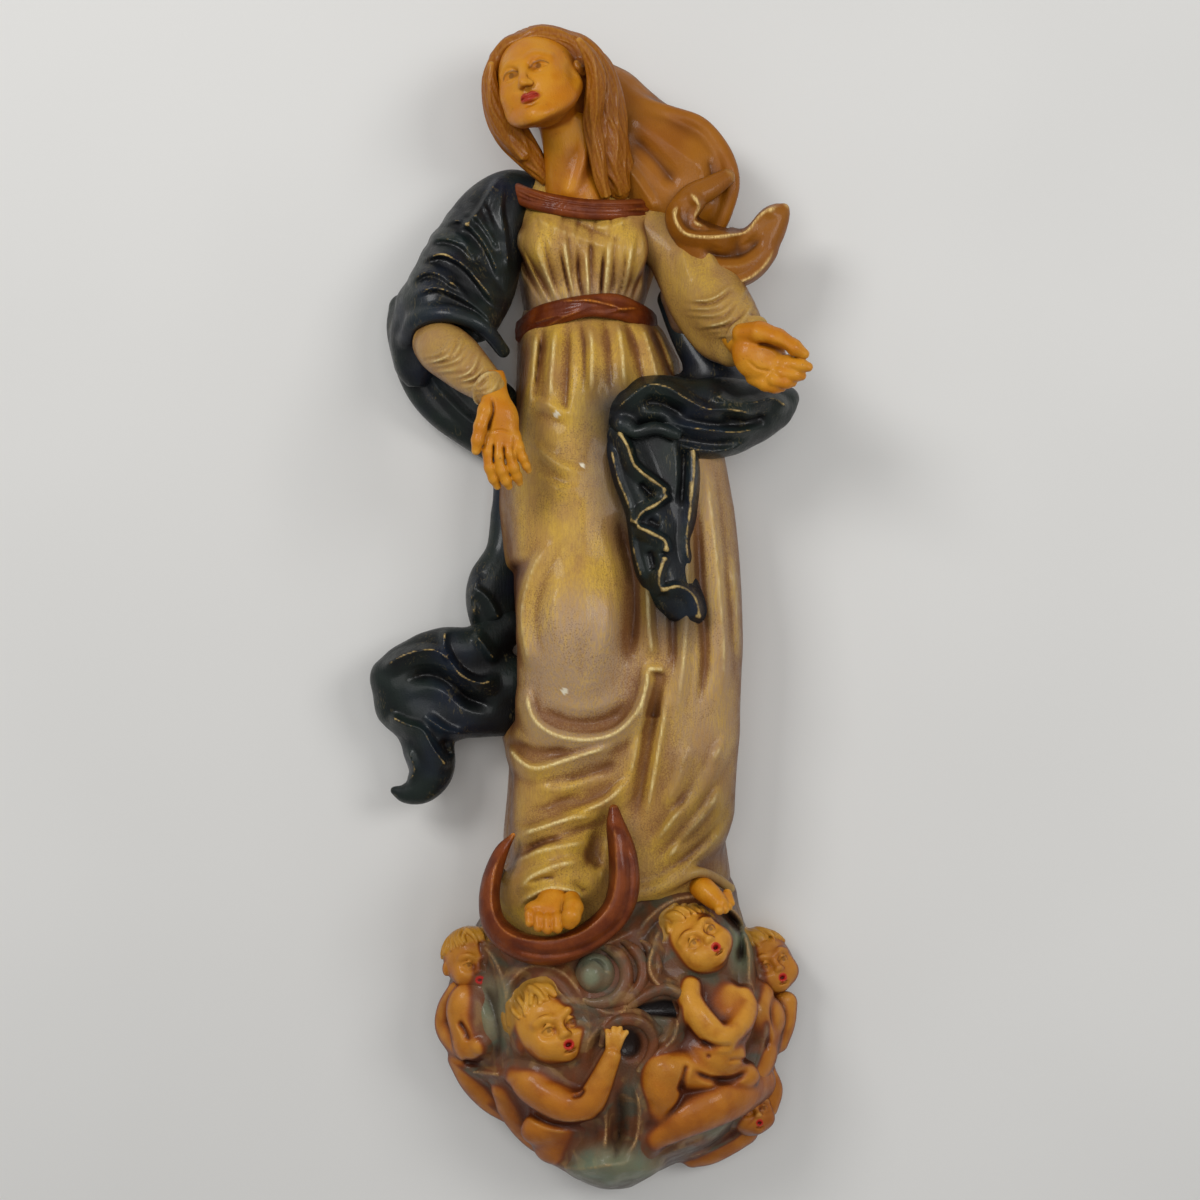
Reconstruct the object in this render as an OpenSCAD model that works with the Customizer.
// Wall-hung madonna figure, cast in sections that are pegged and glued together.
// Stations are [across, out from the wall, up from the foot of the globe, radius], for a figure 600 high.

/* [Figure] */
// Height of the figure from the foot of the globe to the crown of the hair
figure_h = 600; // [450:10:750]
// Width of the glue line between two sections
glue = 0.2; // [0.15:0.05:0.4]
// Thickness of the felt pads that hold the back off the wall
pad_t = 1.5; // [1:0.5:3]
// Diameter of a felt pad
pad_d = 16; // [10:1:20]

/* [Hanger] */
// Diameter of the ring's wire
wire_d = 2.5; // [2:0.1:3]
// Width of the ring between the centre lines of its sides
ring_w = 20; // [18:0.5:22]
// Height of the ring from its pivot to the centre line of its bow
ring_h = 16; // [14:0.5:18]
// Thickness of the strap's sheet
strap_t = 1.5; // [1:0.1:2]
// Depth of the pocket behind the hanger
pocket_d = 9; // [8:0.5:11]

/* [Pins] */
// Diameter of the dowels that join the globe to the skirt
dowel_d = 10; // [8:1:12]
// Diameter of the wrist pins
pin_d = 4; // [3:0.5:5]
// Clearance around a pin in its hole
pin_gap = 0.1; // [0.05:0.05:0.3]

/* [Hidden] */

design_h = 600;                 // height that the stations are written for
k = figure_h / design_h;        // scale of the castings; the hardware keeps its size
pivot_h = 478 * k;              // height of the ring's pivot above the foot of the globe
hang_h = pivot_h + ring_h - wire_d / 2;  // where the hook bears, which is the origin
eps = 0.01;

gown_colour = [0.62, 0.50, 0.28];
mantle_colour = [0.06, 0.08, 0.10];
veil_colour = [0.70, 0.48, 0.17];
skin_colour = [0.80, 0.50, 0.12];
copper_colour = [0.52, 0.22, 0.08];
cloud_colour = [0.50, 0.38, 0.27];
hair_colour = [0.62, 0.33, 0.12];

// ---- placing -------------------------------------------------------------

// Small balls take few facets and large ones more.
function facets(r) = r < 6 ? 6 : r < 15 ? 8 : r < 22 ? 10 : 12;

// A station's place in the model's own frame: the wall is y = 0 and the front is -y.
function at(s) = [k * s[0], -k * s[1], k * s[2] - hang_h];

module ball(s, g = 0) translate(at(s)) sphere(r = k * s[3] + g, $fn = facets(s[3]));

// A round limb through stations, each with its own radius.
module limb(stations, g = 0)
    for (i = [0:len(stations) - 2]) hull() { ball(stations[i], g); ball(stations[i + 1], g); }

// One solid skin round all the stations.
module skin(stations, g = 0) hull() for (s = stations) ball(s, g);

// A slice is [across, up, half width, out, half depth]; a loft joins slices from the top down.
module slice(s, g = 0)
    translate(at([s[0], s[3], s[1]]))
        scale([k * s[2] + g, k * s[4] + g, 1]) cylinder(r = 1, h = 1 + 2 * g, center = true, $fn = 22);

module loft(slices, g = 0)
    for (i = [0:len(slices) - 2]) hull() { slice(slices[i], g); slice(slices[i + 1], g); }

// Cuts away what lies behind the back plane, which the pads hold off the wall.
module flat_back() difference() {
    children();
    translate([-figure_h, -pad_t, -hang_h - figure_h / 2]) cube([2 * figure_h, figure_h, 2 * figure_h]);
}

// A straight pin or its hole between two stations.
module rod(a, b, d, g = 0) {
    pa = at(a);
    v = at(b) - pa;
    len = norm(v);
    translate(pa) rotate([0, acos(v[2] / len), atan2(v[1], v[0])])
        translate([0, 0, -g]) cylinder(d = d + 2 * g, h = len + 2 * g, $fn = 24);
}

// ---- forms of the gown and the body ----------------------------------------

module skirt_form(g = 0) {
    loft([[-8, 449, 29, 26, 24], [-4, 425, 42, 27, 31], [2, 400, 49, 26, 34], [5, 370, 57, 25, 36],
        [7, 335, 61, 24, 38], [12, 300, 61, 24, 39], [13, 265, 62, 24, 39], [11, 235, 63, 24, 38],
        [8, 205, 60, 24, 37], [6, 180, 60, 24, 37], [7, 155, 62, 24, 37]], g);
    // the leading thigh, knee and shin under the cloth
    limb([[-22, 36, 350, 28], [-14, 44, 300, 33], [-12, 46, 262, 30], [-20, 42, 205, 26],
        [-24, 46, 168, 24]], g);
    // folds that fall from the belly and the hip
    for (fold = [
        [[-30, 52, 430, 4], [-34, 54, 395, 5], [-32, 58, 360, 4]],
        [[-12, 56, 436, 4], [-16, 60, 400, 5], [-20, 62, 365, 4]],
        [[4, 55, 436, 4], [0, 60, 402, 5], [2, 62, 370, 4]],
        [[48, 48, 370, 5], [46, 56, 310, 5], [40, 60, 268, 5], [26, 64, 205, 6]],
        [[56, 46, 380, 5], [60, 48, 310, 6], [62, 48, 262, 6], [50, 54, 215, 6], [28, 62, 182, 5]],
        [[68, 34, 250, 5], [60, 42, 212, 6], [42, 56, 186, 6], [24, 60, 166, 5]]]) limb(fold, g);
    // the swag below the knee and the hem under it
    for (fold = [
        [[-40, 58, 272, 5], [-33, 64, 246, 6], [-14, 72, 235, 6], [10, 66, 240, 6], [24, 60, 275, 5]],
        [[-50, 46, 234, 5], [-38, 58, 221, 6], [-14, 66, 224, 6], [14, 62, 240, 5]],
        [[-42, 56, 202, 5], [-26, 68, 190, 6], [-6, 68, 196, 6], [18, 60, 218, 5]],
        [[16, 58, 162, 7], [36, 58, 168, 7], [54, 50, 170, 7], [64, 40, 164, 6]]]) limb(fold, g);
    // the corner of cloth that turns out beside the shin
    skin([[-42, 34, 246, 8], [-50, 30, 228, 8], [-50, 30, 196, 8], [-40, 32, 188, 9]], g);
}

module bodice_form(g = 0) {
    loft([[-8, 449, 29, 26, 25], [-8, 462, 33, 26, 29], [-8, 480, 38, 26, 31],
        [-9, 495, 41, 25, 28], [-10, 507, 38, 24, 20], [-12, 513, 28, 24, 15]], g);
    limb([[20, 26, 490, 18], [32, 26, 486, 15]], g);
    limb([[26, 38, 492, 6], [32, 40, 470, 6], [40, 34, 444, 6]], g);
    skin([[-25, 44, 487, 14], [-23, 44, 480, 14]], g);
    skin([[11, 44, 486, 14], [10, 44, 478, 14]], g);
    for (x = [-30, -20, -8, 4, 14])
        limb([[0.75 * x - 2, 54, 458, 2.5], [x, 59, 476, 3], [1.1 * x, 55, 492, 2]], g);
}

module sash_form(g = 0)
    limb([[-38, 18, 441, 7], [-32, 36, 446, 8], [-20, 48, 451, 8], [-6, 52, 454, 8],
        [8, 49, 453, 7.5], [19, 38, 450, 7], [24, 20, 448, 6.5]], g);

module neckband_form(g = 0)
    limb([[-44, 30, 509, 4.5], [-34, 42, 506, 5], [-22, 48, 503, 5], [-8, 50, 501, 5],
        [6, 46, 501, 5], [18, 36, 503, 4.5], [24, 26, 505, 4]], g);

module head_form(g = 0) {
    skin([[-29, 54, 572, 21], [-32, 60, 564, 19], [-28, 64, 553, 9]], g);
    limb([[-8, 32, 500, 17], [-12, 36, 515, 14.5], [-16, 42, 532, 13.5], [-22, 48, 550, 14]], g);
    limb([[-35, 80, 566, 3.5], [-38, 78, 574, 2.5]], g);
    for (side = [-1, 1]) limb([[-30 + side * 9, 72, 560, 8], [-30 + side * 10, 70, 570, 8]], g);
}

module hair_form(g = 0) {
    skin([[-30, 46, 572, 26], [-22, 40, 570, 27], [-16, 38, 562, 25]], g);
    limb([[-8, 48, 582, 9], [0, 44, 572, 11], [4, 40, 556, 11], [4, 36, 540, 9], [1, 32, 524, 8],
        [-1, 30, 510, 6]], g);
    limb([[-52, 50, 575, 7], [-53, 50, 562, 7], [-49, 46, 550, 7], [-43, 40, 538, 7],
        [-34, 32, 525, 6]], g);
}

module veil_form(g = 0) {
    skin([[-48, 24, 576, 10], [-28, 26, 590, 9], [-4, 26, 574, 12]], g);
    skin([[-4, 24, 570, 12], [6, 26, 556, 12], [6, 18, 515, 12]], g);
    skin([[6, 26, 552, 10], [30, 30, 544, 10], [30, 20, 510, 12], [6, 16, 515, 12]], g);
    skin([[30, 30, 544, 10], [50, 34, 538, 11], [60, 34, 524, 10], [58, 32, 508, 9],
        [30, 20, 510, 12]], g);
    skin([[30, 20, 510, 12], [58, 30, 508, 8], [56, 28, 494, 7], [36, 20, 494, 8]], g);
}

module veil_end_form(g = 0)
    limb([[60, 44, 515, 6], [48, 46, 508, 8], [43, 46, 498, 8], [49, 44, 488, 9], [60, 40, 480, 12],
        [73, 38, 478, 12], [82, 40, 486, 11], [89, 42, 496, 8], [93, 42, 502, 4]], g);

// ---- forms of the mantle ----------------------------------------------------

module mantle_sleeve_form(g = 0) {
    limb([[-34, 22, 513, 7], [-48, 26, 513, 9], [-56, 28, 500, 15], [-66, 30, 484, 18],
        [-76, 34, 466, 19], [-80, 38, 452, 20]], g);
    limb([[-50, 30, 500, 12], [-54, 32, 480, 16], [-60, 38, 460, 17], [-62, 44, 446, 15]], g);
    limb([[-88, 30, 450, 15], [-92, 28, 436, 12], [-93, 26, 426, 11]], g);
}

module mantle_back_form(g = 0) {
    skin([[-92, 18, 438, 9], [-92, 16, 420, 9], [-80, 14, 402, 8], [-44, 14, 430, 9]], g);
    skin([[-80, 14, 402, 8], [-64, 12, 388, 8], [-44, 12, 376, 8], [-44, 14, 430, 9]], g);
    limb([[-48, 12, 385, 8], [-51, 12, 360, 8], [-53, 13, 340, 8], [-56, 15, 322, 9],
        [-61, 18, 310, 9], [-60, 20, 299, 9]], g);
}

module mantle_tail_form(g = 0) {
    skin([[-50, 18, 292, 10], [-60, 26, 280, 10], [-50, 18, 250, 13], [-66, 20, 256, 14]], g);
    skin([[-66, 24, 280, 9], [-94, 30, 280, 9], [-84, 26, 256, 14], [-66, 20, 254, 14]], g);
    skin([[-94, 30, 280, 9], [-109, 32, 263, 11], [-104, 30, 250, 11], [-84, 26, 256, 14]], g);
    limb([[-94, 28, 248, 14], [-88, 26, 236, 14], [-84, 26, 224, 12], [-86, 26, 213, 12],
        [-96, 26, 207, 8], [-102, 26, 208, 4]], g);
}

module mantle_hip_form(g = 0) {
    limb([[10, 56, 390, 13], [22, 58, 398, 17], [44, 54, 400, 17], [66, 46, 402, 16],
        [84, 42, 406, 12], [90, 42, 404, 9]], g);
    limb([[84, 42, 402, 12], [76, 42, 393, 12], [56, 42, 391, 14]], g);
    limb([[64, 34, 410, 12], [52, 28, 424, 11], [42, 24, 440, 9], [34, 22, 456, 7]], g);
}

module mantle_fall_form(g = 0) {
    limb([[14, 58, 384, 13], [20, 62, 366, 12], [25, 62, 348, 11], [25, 60, 332, 12],
        [30, 60, 316, 13], [38, 60, 305, 12], [46, 60, 302, 8]], g);
    limb([[32, 54, 384, 10], [38, 54, 360, 10], [39, 54, 335, 10], [38, 54, 315, 10]], g);
}

// ---- forms of the arms, hands and feet ----------------------------------------

module sleeve_right_form(g = 0)
    limb([[-86, 46, 437, 13], [-80, 54, 431, 15], [-72, 66, 425, 14], [-65, 76, 419, 12.5],
        [-59, 85, 413, 10]], g);

module hand_right_form(g = 0) {
    limb([[-57, 89, 411, 8], [-54, 92, 402, 9], [-50, 94, 390, 9]], g);
    for (f = [[-59, -55, 0], [-53, -49, -3], [-48, -44, -3], [-44, -37, 5]])
        limb([[f[0] + 3, 93, 388, 4], [f[0] + 2, 92, 376, 3.6], [f[1] + 1, 90, 366 + f[2], 2.8]], g);
    limb([[-58, 94, 404, 4.5], [-62, 97, 393, 4.2], [-63, 97, 381, 3]], g);
}

module sleeve_left_form(g = 0)
    limb([[36, 30, 484, 14], [44, 34, 474, 16], [54, 40, 460, 18], [62, 50, 450, 17],
        [66, 60, 444, 14], [70, 68, 440, 11]], g);

module hand_left_form(g = 0) {
    limb([[71, 70, 439, 9], [77, 78, 433, 11], [83, 84, 428, 10]], g);
    for (f = [[84, 98, 433], [88, 100, 429], [88, 98, 423], [86, 94, 418]])
        limb([[82, 86, f[2], 5], [f[0] + 3, 91, f[2], 4], [f[1], 95, f[2] + 1, 3]], g);
}

module foot_right_form(g = 0) {
    limb([[-26, 60, 160, 11], [-24, 72, 153, 10]], g);
    for (toe = [[-14, 148, 6], [-21, 144, 4.5], [-26, 143.5, 4], [-31, 144, 3.8], [-35, 146, 3.5]])
        limb([[toe[0], 70, toe[1] + 4, toe[2]], [toe[0], 80, toe[1], toe[2]]], g);
}

module foot_left_form(g = 0) {
    limb([[50, 46, 160, 8], [56, 58, 155, 7]], g);
    for (i = [0:4]) limb([[52 + 3 * i, 60 - i, 156 - 2 * i, 4], [53 + 3 * i, 66 - i, 153 - 2 * i, 3]], g);
}

// ---- forms of the moon, the globe and the cherubs ----------------------------------

module crescent_form(g = 0)
    limb([[-43, 60, 186, 2.5], [-50, 62, 176, 5], [-54, 66, 162, 7], [-51, 70, 146, 8.5],
        [-40, 74, 134, 9.5], [-22, 77, 129, 10], [-4, 77, 133, 9.5], [9, 75, 145, 9],
        [14, 73, 160, 7.5], [13, 72, 176, 6.5], [9, 71, 188, 5], [6, 70, 197, 3]], g);

module globe_form(g = 0) {
    loft([[6, 0, 10, 2, 16], [6, 10, 26, 2, 34], [8, 26, 45, 2, 50], [8, 44, 59, 2, 62],
        [8, 65, 70, 2, 71], [8, 88, 76, 2, 75], [8, 110, 77, 2, 74], [8, 130, 71, 2, 67],
        [12, 146, 62, 2, 57], [20, 154, 50, 2, 49]], g);
    // rolls of cloud that wrap the ball
    for (roll = [
        [[-46, 54, 122, 9], [-28, 66, 112, 9], [-6, 72, 104, 7], [10, 76, 98, 6]],
        [[14, 66, 140, 8], [24, 72, 120, 7], [22, 72, 108, 6]],
        [[62, 60, 122, 8], [72, 50, 106, 10], [74, 46, 88, 9]],
        [[4, 62, 30, 8], [18, 56, 20, 8], [6, 44, 12, 8], [-16, 46, 22, 8]],
        [[-78, 16, 96, 9], [-80, 14, 80, 9], [-68, 18, 62, 9], [-52, 26, 46, 9]]]) limb(roll, g);
}

module scroll_form(g = 0)
    for (ring = [[15, 0], [9, 5]])
        limb([for (a = [0:60:360])
            [-1 + (ring[0] - 4) * cos(a), 72 + ring[1], 120 + (ring[0] - 4) * sin(a), 5]], g);

module hood_form(g = 0)
    limb([[4, 84, 86, 4], [10, 86, 92, 4.5], [18, 86, 91, 4.5], [24, 85, 85, 4], [23, 84, 77, 4],
        [16, 84, 72, 4]], g);

module lip_form(g = 0)
    limb([[14, 78, 99, 3.5], [24, 78, 106, 4], [34, 74, 109, 4], [42, 70, 104, 4]], g);

// A chubby head: skull, cheeks, chin, nose, ears and a forelock, looking out along -y.
module cherub_head(s, turn, g = 0) {
    r = s[3];
    translate(at(s)) rotate(turn) scale(k) {
        hull() {
            sphere(r = r + g, $fn = 12);
            translate([0, -0.25 * r, -0.4 * r]) sphere(r = 0.75 * r + g, $fn = 8);
        }
        for (side = [-1, 1]) {
            hull() {
                translate([side * 0.40 * r, -0.62 * r, -0.30 * r]) sphere(r = 0.38 * r + g, $fn = 8);
                translate([side * 0.30 * r, -0.60 * r, -0.55 * r]) sphere(r = 0.32 * r + g, $fn = 6);
            }
            hull() {
                translate([side * 0.95 * r, -0.05 * r, -0.05 * r]) sphere(r = 0.14 * r + g, $fn = 6);
                translate([side * 0.92 * r, 0, -0.30 * r]) sphere(r = 0.12 * r + g, $fn = 6);
            }
            hull() {
                translate([side * 0.5 * r, -0.5 * r, 0.72 * r]) sphere(r = 0.3 * r + g, $fn = 8);
                translate([side * 0.85 * r, -0.1 * r, 0.45 * r]) sphere(r = 0.3 * r + g, $fn = 6);
            }
        }
        hull() {
            translate([0, -0.95 * r, -0.22 * r]) sphere(r = 0.16 * r + g, $fn = 6);
            translate([0, -0.90 * r, 0.10 * r]) sphere(r = 0.10 * r + g, $fn = 6);
        }
        hull() {
            translate([0, -0.78 * r, -0.85 * r]) sphere(r = 0.22 * r + g, $fn = 8);
            translate([0, -0.50 * r, -0.75 * r]) sphere(r = 0.40 * r + g, $fn = 6);
        }
        hull() {
            translate([0, -0.70 * r, 0.78 * r]) sphere(r = 0.26 * r + g, $fn = 8);
            translate([0, -0.20 * r, 0.95 * r]) sphere(r = 0.30 * r + g, $fn = 6);
        }
    }
}

module upper_head_form(g = 0) cherub_head([47, 62, 133, 16], [-12, -32, 34], g);
module front_head_form(g = 0) cherub_head([-26, 80, 92, 17], [-6, -18, 14], g);
module left_head_form(g = 0) cherub_head([-66, 36, 120, 12], [0, -8, -38], g);
module right_head_form(g = 0) cherub_head([82, 34, 122, 14], [-4, -12, 42], g);
module low_head_form(g = 0) cherub_head([70, 46, 50, 13], [-22, -20, 34], g);

module upper_body_form(g = 0) {
    limb([[46, 70, 106, 8], [56, 74, 94, 8], [64, 74, 90, 7.5], [72, 66, 100, 7], [74, 58, 108, 6]], g);
    limb([[50, 68, 96, 12], [48, 66, 84, 16], [58, 62, 74, 16]], g);
    limb([[40, 68, 76, 10], [30, 76, 74, 9], [30, 76, 62, 9.5]], g);
    limb([[40, 66, 50, 8], [56, 60, 58, 9], [66, 54, 66, 9]], g);
}

module front_body_form(g = 0) {
    limb([[-38, 68, 62, 9], [-28, 72, 55, 9.5], [-14, 75, 56, 9.5], [-6, 78, 64, 8.5], [2, 82, 76, 7],
        [6, 83, 84, 5.5]], g);
    limb([[-30, 56, 44, 12], [-12, 56, 38, 13], [0, 54, 32, 11]], g);
    limb([[-46, 62, 74, 6], [-40, 66, 66, 8]], g);
}

module left_body_form(g = 0) {
    limb([[-66, 28, 108, 8], [-74, 24, 98, 8], [-74, 22, 88, 8], [-66, 28, 80, 8]], g);
    limb([[-62, 30, 74, 9], [-54, 34, 66, 8]], g);
    limb([[-74, 26, 90, 6], [-64, 36, 90, 6], [-58, 42, 84, 5]], g);
    limb([[-70, 20, 100, 7], [-68, 20, 76, 8]], g);
}

module right_body_form(g = 0) {
    limb([[82, 26, 104, 8], [84, 28, 92, 9], [80, 34, 80, 10], [78, 32, 68, 8], [74, 38, 62, 7]], g);
    limb([[76, 44, 92, 7], [80, 36, 76, 7]], g);
}

module low_body_form(g = 0)
    limb([[70, 30, 36, 8], [56, 34, 30, 9], [44, 36, 26, 8], [30, 36, 24, 6.5], [24, 40, 32, 5]], g);

// ---- pins, pocket and block ----------------------------------------------------

module neck_rod(g = 0) rod([-6, 27, 480], [-17, 43, 535], 8, g);

module globe_rods(g = 0)
    for (x = [-14, 34]) rod([x, 26, 115], [x, 26, 195], dowel_d, g);

module wrist_rods(g = 0) {
    rod([-68, 72, 422], [-55, 92, 404], pin_d, g);
    rod([65, 59, 445], [77, 79, 433], pin_d, g);
}

module moon_rods(g = 0) {
    rod([-50, 52, 165], [-54, 64, 160], pin_d, g);
    rod([11, 50, 170], [13, 71, 170], pin_d, g);
    rod([-22, 58, 128], [-22, 76, 128], pin_d, g);
}

module drape_rods(g = 0) {
    rod([45, 36, 500], [47, 46, 504], pin_d, g);
    rod([-30, 20, 268], [-62, 20, 266], pin_d, g);
}

// Box between two corners given out from the wall and up from the ring's pivot.
module pocket_box(half_w, out0, out1, low, high)
    translate([-half_w, -out1, pivot_h - hang_h + low]) cube([2 * half_w, out1 - out0, high - low]);

pocket_half_w = ring_w / 2 + 5;
pocket_low = -ring_h - 20;
pocket_high = ring_h + 8;
block_half_w = 12;
block_t = 13;
module pocket() pocket_box(pocket_half_w, -1, pocket_d, pocket_low, pocket_high);
module block_seat(g = 0)
    pocket_box(block_half_w + g, pocket_d - g, pocket_d + block_t + g, pocket_low + 1 - g, 8 + g);

// ---- nodes: each keeps its own form and gives way to the ones that lie over it --------

module skirt() color(gown_colour) flat_back() difference() {
    skirt_form();
    bodice_form(glue);
    sash_form(glue);
    mantle_hip_form(glue);
    mantle_fall_form(glue);
    mantle_back_form(glue);
    mantle_tail_form(glue);
    hand_right_form(glue);
    foot_right_form(glue);
    foot_left_form(glue);
    crescent_form(glue);
    globe_form(glue);
    globe_rods(pin_gap);
    moon_rods(pin_gap);
    drape_rods(pin_gap);
    pocket();
    block_seat(glue);
}

module bodice() color(gown_colour) flat_back() difference() {
    bodice_form();
    sash_form(glue);
    neckband_form(glue);
    head_form(glue);
    mantle_sleeve_form(glue);
    mantle_hip_form(glue);
    mantle_back_form(glue);
    sleeve_left_form(glue);
    hair_form(glue);
    neck_rod(pin_gap);
    pocket();
    block_seat(glue);
}

module sash() color(copper_colour) flat_back() difference() {
    sash_form();
    mantle_back_form(glue);
    mantle_hip_form(glue);
    mantle_sleeve_form(glue);
}

module neckband() color(copper_colour) flat_back() difference() {
    neckband_form();
    mantle_sleeve_form(glue);
    head_form(glue);
    hair_form(glue);
}

module head() color(skin_colour) flat_back() difference() {
    head_form();
    hair_form(glue);
    neck_rod(pin_gap);
    pocket();
    block_seat(glue);
}

module hair() color(hair_colour) flat_back() difference() {
    hair_form();
    pocket();
}

module veil() color(veil_colour) flat_back() difference() {
    veil_form();
    hair_form(glue);
    head_form(glue);
    bodice_form(glue);
    neckband_form(glue);
    veil_end_form(glue);
    sleeve_left_form(glue);
    drape_rods(pin_gap);
}

module veil_end() color(veil_colour) flat_back() difference() {
    veil_end_form();
    sleeve_left_form(glue);
    drape_rods(pin_gap);
}

module mantle_sleeve() color(mantle_colour) flat_back() difference() {
    mantle_sleeve_form();
    sleeve_right_form(glue);
    head_form(glue);
    hair_form(glue);
    mantle_back_form(glue);
}

module mantle_back() color(mantle_colour) flat_back() difference() {
    mantle_back_form();
    sleeve_right_form(glue);
    mantle_tail_form(glue);
}

module mantle_tail() color(mantle_colour) flat_back() difference() {
    mantle_tail_form();
    drape_rods(pin_gap);
}

module mantle_hip() color(mantle_colour) flat_back() difference() {
    mantle_hip_form();
    sleeve_left_form(glue);
    hand_left_form(glue);
    mantle_fall_form(glue);
}

module mantle_fall() color(mantle_colour) flat_back() mantle_fall_form();

module sleeve_right() color(gown_colour) flat_back() difference() {
    sleeve_right_form();
    hand_right_form(glue);
    wrist_rods(pin_gap);
}

module sleeve_left() color(gown_colour) flat_back() difference() {
    sleeve_left_form();
    hand_left_form(glue);
    wrist_rods(pin_gap);
}

module hand_right() color(skin_colour) difference() {
    hand_right_form();
    wrist_rods(pin_gap);
}

module hand_left() color(skin_colour) difference() {
    hand_left_form();
    wrist_rods(pin_gap);
}

module foot_right() color(skin_colour) difference() {
    foot_right_form();
    crescent_form(glue);
    globe_form(glue);
}

module foot_left() color(skin_colour) difference() {
    foot_left_form();
    globe_form(glue);
    upper_head_form(glue);
}

module crescent_moon() color(copper_colour) difference() {
    crescent_form();
    moon_rods(pin_gap);
}

module cloud_globe() color(cloud_colour) flat_back() difference() {
    globe_form();
    crescent_form(glue);
    scroll_form(glue);
    hood_form(glue);
    lip_form(glue);
    upper_head_form(glue);
    front_head_form(glue);
    left_head_form(glue);
    right_head_form(glue);
    low_head_form(glue);
    upper_body_form(glue);
    front_body_form(glue);
    left_body_form(glue);
    right_body_form(glue);
    low_body_form(glue);
    globe_rods(pin_gap);
    moon_rods(pin_gap);
}

module cloud_scroll() color(cloud_colour) difference() {
    scroll_form();
    crescent_form(glue);
}

module cloud_hood() color(veil_colour) difference() {
    hood_form();
    front_body_form(glue);
    upper_body_form(glue);
}

module cloud_lip() color(veil_colour) difference() {
    lip_form();
    upper_body_form(glue);
}

module cherub_upper_head() color(skin_colour) upper_head_form();
module cherub_front_head() color(skin_colour) difference() { front_head_form(); front_body_form(glue); }
module cherub_left_head() color(skin_colour) flat_back() left_head_form();
module cherub_right_head() color(skin_colour) flat_back() right_head_form();
module cherub_low_head() color(skin_colour) flat_back() low_head_form();

module cherub_upper_body() color(skin_colour) difference() {
    upper_body_form();
    upper_head_form(glue);
    right_body_form(glue);
    low_head_form(glue);
}

module cherub_front_body() color(skin_colour) flat_back() front_body_form();

module cherub_left_body() color(skin_colour) flat_back() difference() {
    left_body_form();
    left_head_form(glue);
}

module cherub_low_body() color(skin_colour) flat_back() difference() {
    low_body_form();
    low_head_form(glue);
    upper_body_form(glue);
}

module cherub_right_body() color(skin_colour) flat_back() difference() {
    right_body_form();
    right_head_form(glue);
    low_head_form(glue);
}

// ---- hardware -----------------------------------------------------------------

screw_drop = [-ring_h - 5, -ring_h - 13];  // heights of the strap's screws, below the ring's bow
screw_d = 3.5;
head_d = 7;
strap_w = 12;
barrel_r = wire_d / 2 + 0.1 + strap_t;   // the strap is rolled round the ring's straight side
pivot_out = pocket_d - barrel_r;         // the pivot's distance from the wall

module pivot() translate([0, -pivot_out, pivot_h - hang_h]) children();
// A hole or shank along y through the strap, at each screw.
module at_screws() for (z = screw_drop) translate([0, 0, pivot_h - hang_h + z]) rotate([90, 0, 0]) children();

module hanger_block() color("burlywood") difference() {
    block_seat();
    at_screws() cylinder(d = screw_d, h = pocket_d + block_t - 1, $fn = 32);
}

module hanger_strap() color("silver") difference() {
    union() {
        pocket_box(strap_w / 2, pocket_d - strap_t, pocket_d, screw_drop[1] - 5, 0);
        pivot() rotate([0, 90, 0]) cylinder(r = barrel_r, h = strap_w, center = true, $fn = 48);
    }
    pivot() rotate([0, 90, 0]) cylinder(d = wire_d + 0.1, h = strap_w + 2, center = true, $fn = 48);
    at_screws() cylinder(d = screw_d + 0.4, h = pocket_d + 1, $fn = 32);
}

// The ring hangs down from its straight side, with round corners and a round bow.
module hanger_ring() color("silver") {
    side = ring_w / 2;
    drop = ring_h - side;
    pivot() {
        rotate([0, 90, 0]) cylinder(d = wire_d, h = ring_w, center = true, $fn = 32);
        for (s = [-1, 1]) translate([s * side, 0, 0]) {
            sphere(d = wire_d, $fn = 32);
            translate([0, 0, -drop]) cylinder(d = wire_d, h = drop, $fn = 32);
        }
        translate([0, 0, -drop]) rotate([90, 0, 0]) rotate([0, 0, 180])
            rotate_extrude(angle = 180, $fn = 64) translate([side, 0]) circle(d = wire_d, $fn = 32);
    }
}

module hanger_screws() color("goldenrod") at_screws() {
    translate([0, 0, pocket_d - strap_t - 1.8]) cylinder(d1 = head_d - 2, d2 = head_d, h = 1.8, $fn = 32);
    translate([0, 0, pocket_d - strap_t - eps]) cylinder(d = screw_d - 0.1, h = 11, $fn = 32);
}

module wall_pads() color("dimgray")
    for (p = [[-34, 488], [-30, 330], [36, 330], [-30, 90], [46, 90]])
        translate([k * p[0], 0, k * p[1] - hang_h]) rotate([90, 0, 0]) cylinder(d = pad_d, h = pad_t, $fn = 48);

module neck_dowel() color("burlywood") neck_rod();
module globe_dowels() color("burlywood") globe_rods();
module wrist_pins() color("silver") wrist_rods();
module moon_pins() color("silver") moon_rods();
module drape_pins() color("silver") drape_rods();

skirt();
bodice();
sash();
neckband();
head();
hair();
veil();
veil_end();
mantle_sleeve();
mantle_back();
mantle_tail();
mantle_hip();
mantle_fall();
sleeve_right();
sleeve_left();
hand_right();
hand_left();
foot_right();
foot_left();
crescent_moon();
cloud_globe();
cloud_scroll();
cloud_hood();
cloud_lip();
cherub_upper_head();
cherub_upper_body();
cherub_front_head();
cherub_front_body();
cherub_left_head();
cherub_left_body();
cherub_right_head();
cherub_right_body();
cherub_low_head();
cherub_low_body();
hanger_block();
hanger_strap();
hanger_ring();
hanger_screws();
wall_pads();
neck_dowel();
globe_dowels();
wrist_pins();
moon_pins();
drape_pins();
